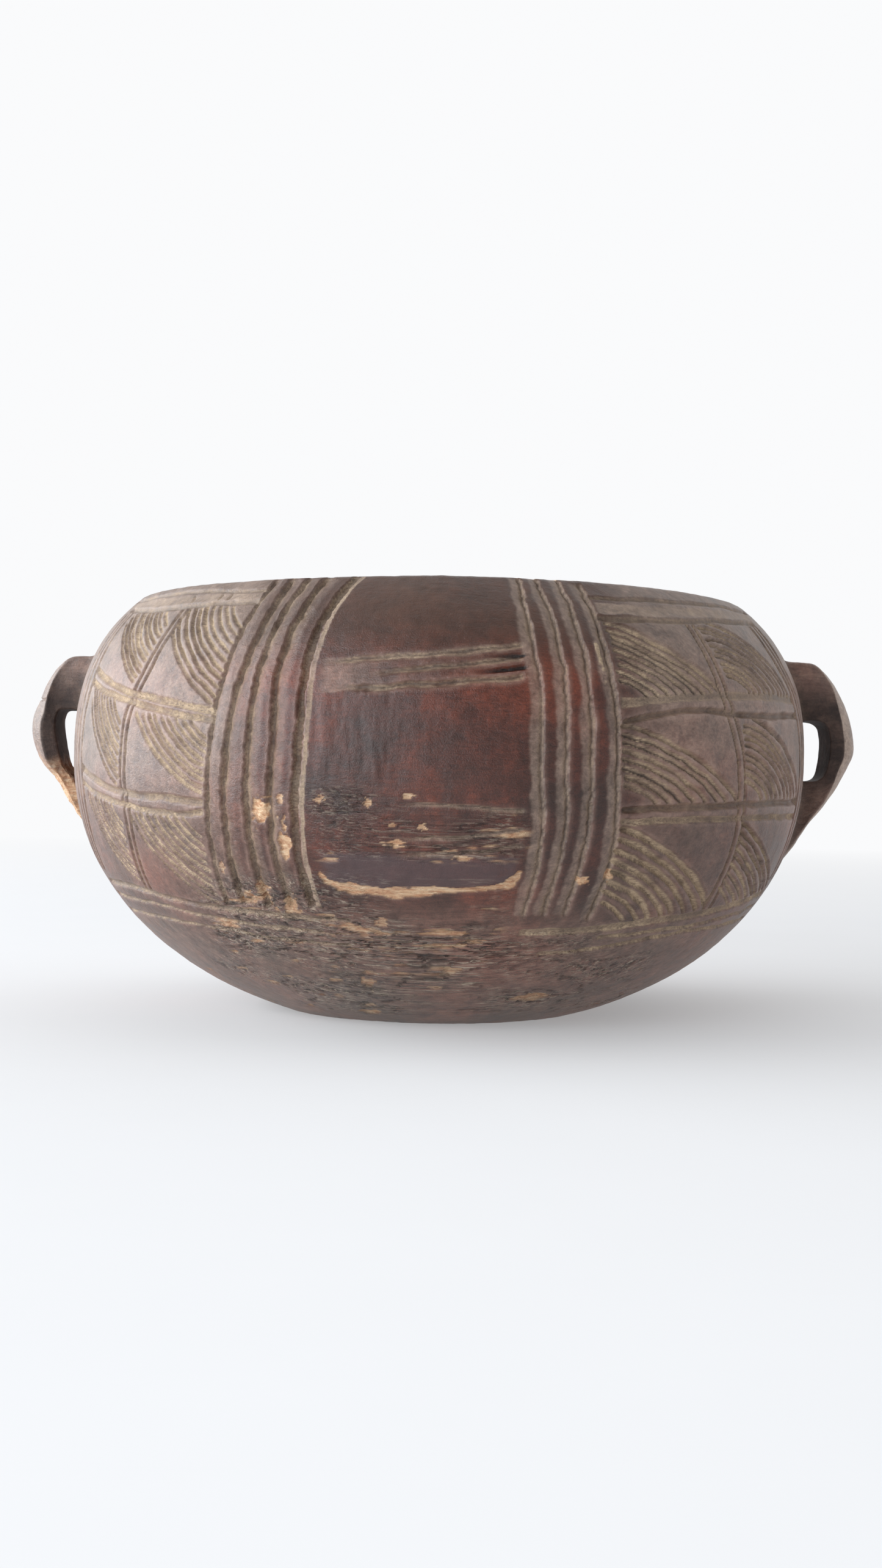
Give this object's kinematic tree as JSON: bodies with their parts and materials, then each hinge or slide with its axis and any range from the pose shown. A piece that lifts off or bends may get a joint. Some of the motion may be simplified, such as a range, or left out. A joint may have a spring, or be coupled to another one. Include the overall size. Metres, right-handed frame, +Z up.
{
  "type": "carved wooden bowl",
  "caption": "Deep round wooden bowl with a turned-in rim, a small flat foot, a carved wall and a pierced lug handle on each side.",
  "frame": {"origin": "middle of the flat foot, on the surface that the bowl stands on", "axes": "+Z up along the bowl's axis, the carved front faces -Y, the handles stand on the +X and -X sides"},
  "size_m": [0.357, 0.3104, 0.171],
  "materials": {
    "carved_wood": "dark red-brown hand-rubbed patina with dust in the carved grooves and worn bare patches",
    "handle_wood": "dark brown patina, polished on the outer faces by handling, bare tan wood on the left tail"
  },
  "bodies": {
    "root": {"bowl_body": "carved_wood", "left_handle": "handle_wood", "right_handle": "handle_wood"}
  },
  "joints": []
}
